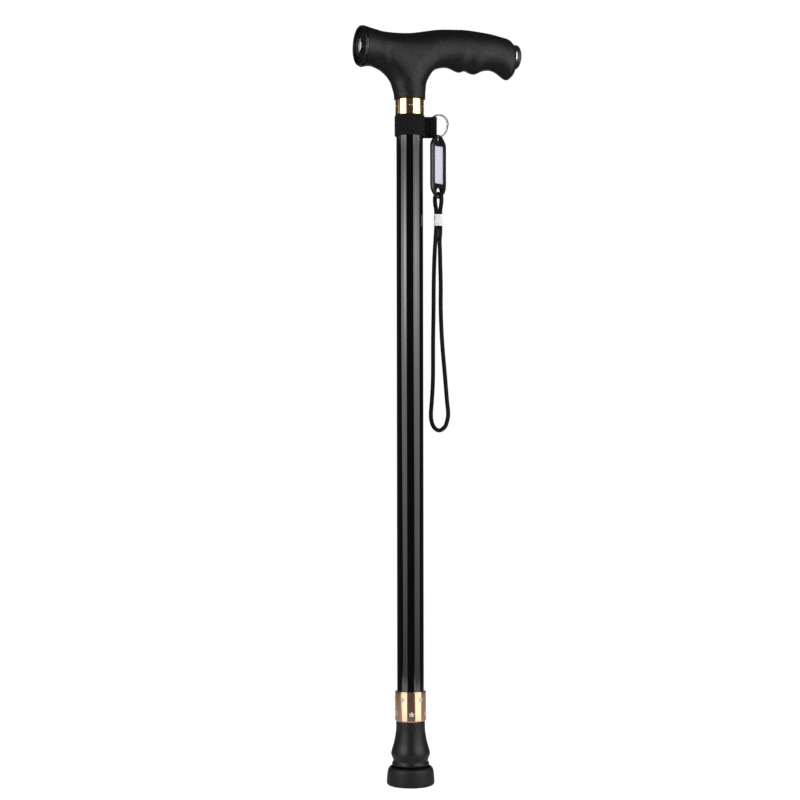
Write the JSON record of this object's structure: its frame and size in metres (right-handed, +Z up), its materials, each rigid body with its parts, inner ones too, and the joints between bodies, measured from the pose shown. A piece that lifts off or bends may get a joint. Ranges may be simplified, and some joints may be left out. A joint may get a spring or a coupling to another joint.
{
  "type": "walking stick",
  "caption": "Telescopic walking stick with a torch in its moulded T handle, a twist lock, a swivelling rubber foot, a key tag and a wrist loop.",
  "frame": {"origin": "middle of the flat sole of the foot pad, on the stick's axis", "axes": "+Z up along the stick, X along the handle with the torch's lens at -X and the push button at +X"},
  "size_m": [0.1443, 0.0394, 0.6267],
  "materials": {
    "rubber": "matte black",
    "grained_plastic": "fine leather grain, black",
    "gloss_plastic": "gloss black",
    "plain_plastic": "satin black",
    "clear_plastic": "clear plastic",
    "black_paint": "gloss black paint over aluminium",
    "bare_tube": "satin anodised",
    "gold_metal": "polished, gold coloured",
    "chrome": "polished",
    "steel": "plated, bright",
    "brass": "plain",
    "circuit_board": "green lacquer",
    "cell_jacket": "printed metal jacket, plain",
    "label_paper": "plain pale lilac paper",
    "webbing": "black woven webbing",
    "cord": "black braided cord"
  },
  "bodies": {
    "foot": {"foot_pad": "rubber"},
    "cup": {"socket_cup": "plain_plastic"},
    "liner": {"socket_liner": "plain_plastic"},
    "leg": {"ball_stud": "steel", "foot_boot": "rubber", "boot_washer": "steel", "tube_end_plug": "plain_plastic", "inner_tube": "bare_tube", "inner_tube_glide": "plain_plastic"},
    "upper": {"outer_tube": "black_paint", "tube_plug": "plain_plastic", "upper_collar": "gold_metal", "collet": "plain_plastic", "handle_left_shell": "grained_plastic", "handle_right_shell": "grained_plastic", "torch_bezel": "gloss_plastic", "torch_lens": "clear_plastic", "torch_reflector": "chrome", "led_board": "circuit_board", "front_contact": "brass", "battery_sleeve": "plain_plastic", "battery_front": "cell_jacket", "battery_rear": "cell_jacket", "battery_spring": "steel", "switch_body": "plain_plastic", "tail_trim_ring": "chrome", "tail_cap": "plain_plastic"},
    "lock": {"lock_ring": "gold_metal"},
    "button": {"tail_button": "rubber"},
    "strap": {"strap_band": "webbing"},
    "ring": {"split_ring": "steel"},
    "tag": {"tag_body": "gloss_plastic", "tag_label": "label_paper", "tag_window": "clear_plastic"},
    "lanyard": {"tag_cord_loop": "cord", "cord_crimp": "steel", "wrist_loop_cord": "cord"}
  },
  "joints": [
    {"name": "foot_swivel", "type": "hinge", "parent": "foot", "child": "cup", "pos_m": [0, 0, 0.0105], "axis": [0, 0, 1], "continuous": true},
    {"name": "foot_tilt_side", "type": "hinge", "parent": "cup", "child": "liner", "pos_m": [0, 0, 0.0105], "axis": [1, 0, 0], "range_deg": [-5, 5], "stiffness_Nm_per_rad": 8},
    {"name": "foot_tilt_fore", "type": "hinge", "parent": "liner", "child": "leg", "pos_m": [0, 0, 0.0105], "axis": [0, 1, 0], "range_deg": [-5, 5], "stiffness_Nm_per_rad": 8},
    {"name": "telescope", "type": "slide", "parent": "leg", "child": "upper", "axis": [0, 0, 1], "range_m": [0, 0.23]},
    {"name": "lock_ring_turn", "type": "hinge", "parent": "upper", "child": "lock", "pos_m": [0, 0, 0.0526], "axis": [0, 0, 1], "range_deg": [0, 120]},
    {"name": "torch_button_press", "type": "slide", "parent": "upper", "child": "button", "axis": [-1, 0, 0], "range_m": [0, 0.0015], "stiffness_N_per_m": 1500},
    {"name": "strap_turn", "type": "hinge", "parent": "upper", "child": "strap", "pos_m": [0, 0, 0.5355], "axis": [0, 0, 1], "continuous": true},
    {"name": "ring_swing", "type": "hinge", "parent": "strap", "child": "ring", "pos_m": [0.02102, -0.0009, 0.5444], "axis": [0, 0, 1], "range_deg": [-5, 5]},
    {"name": "tag_swing", "type": "hinge", "parent": "ring", "child": "tag", "pos_m": [0.02353, -0.00476, 0.535], "axis": [0.5446, -0.8387, 0], "range_deg": [-0.5, 50]},
    {"name": "lanyard_swing", "type": "hinge", "parent": "tag", "child": "lanyard", "pos_m": [0.02353, -0.00476, 0.4852], "axis": [-0.8387, -0.5446, 0], "range_deg": [-1, 60]}
  ]
}
